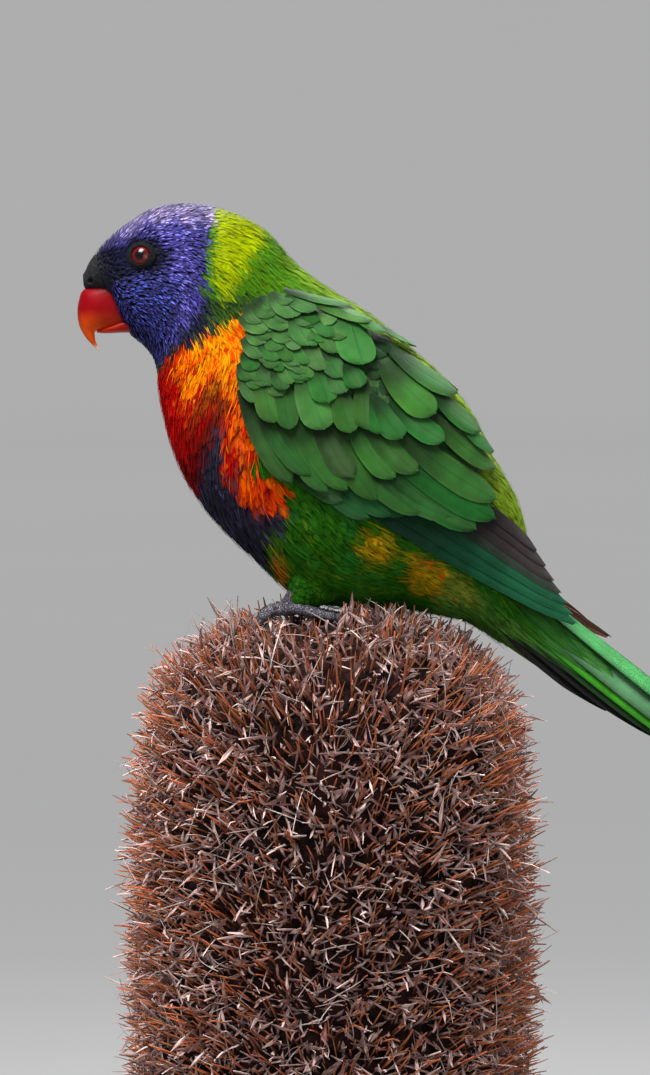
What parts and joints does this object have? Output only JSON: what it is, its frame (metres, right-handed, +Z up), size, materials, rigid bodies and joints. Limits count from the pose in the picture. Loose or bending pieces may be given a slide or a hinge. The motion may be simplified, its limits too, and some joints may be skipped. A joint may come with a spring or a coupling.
{
  "type": "life-size rainbow lorikeet model on a dry banksia spike",
  "caption": "Still life-size rainbow lorikeet perched on the top of a dry banksia flower spike, held by a plain round display stand.",
  "frame": {"origin": "centre of the round base's lower face, on the spike's axis", "axes": "+Z up; the bird faces -X, its tail points to +X and down, its left side faces -Y"},
  "size_m": [0.2218, 0.156, 0.3076],
  "materials": {
    "head_plumage": "violet-blue feathers with paler lilac shafts",
    "collar_plumage": "yellow-green collar over green nape feathers",
    "breast_plumage": "red, orange and yellow streaked breast feathers",
    "belly_plumage": "green feathers with yellow and orange patches",
    "wing_plumage": "satin green wing feathers, darker towards the tips",
    "tail_plumage": "satin green tail feathers",
    "cere_skin": "bare dark skin at the bill's root",
    "bill": "smooth red horn, orange towards the tip",
    "eye": "glossy dark eye with a red iris",
    "foot_skin": "grey scaly skin with dark claws",
    "dry_flower_spike": "dry, matte, orange-brown bristles over a dark core",
    "stand_base_wood": "black-stained satin wood",
    "stand_rod_steel": "brushed steel"
  },
  "bodies": {
    "root": {"head": "head_plumage", "neck": "collar_plumage", "torso": "breast_plumage", "vent": "belly_plumage", "wing_left": "wing_plumage", "wing_right": "wing_plumage", "tail": "tail_plumage", "cere": "cere_skin", "bill_upper": "bill", "bill_lower": "bill", "eye_left": "eye", "eye_right": "eye", "leg_left": "belly_plumage", "leg_right": "belly_plumage", "foot_left": "foot_skin", "foot_right": "foot_skin", "perch_spike": "dry_flower_spike", "stand_base": "stand_base_wood", "stand_rod": "stand_rod_steel"}
  },
  "joints": []
}
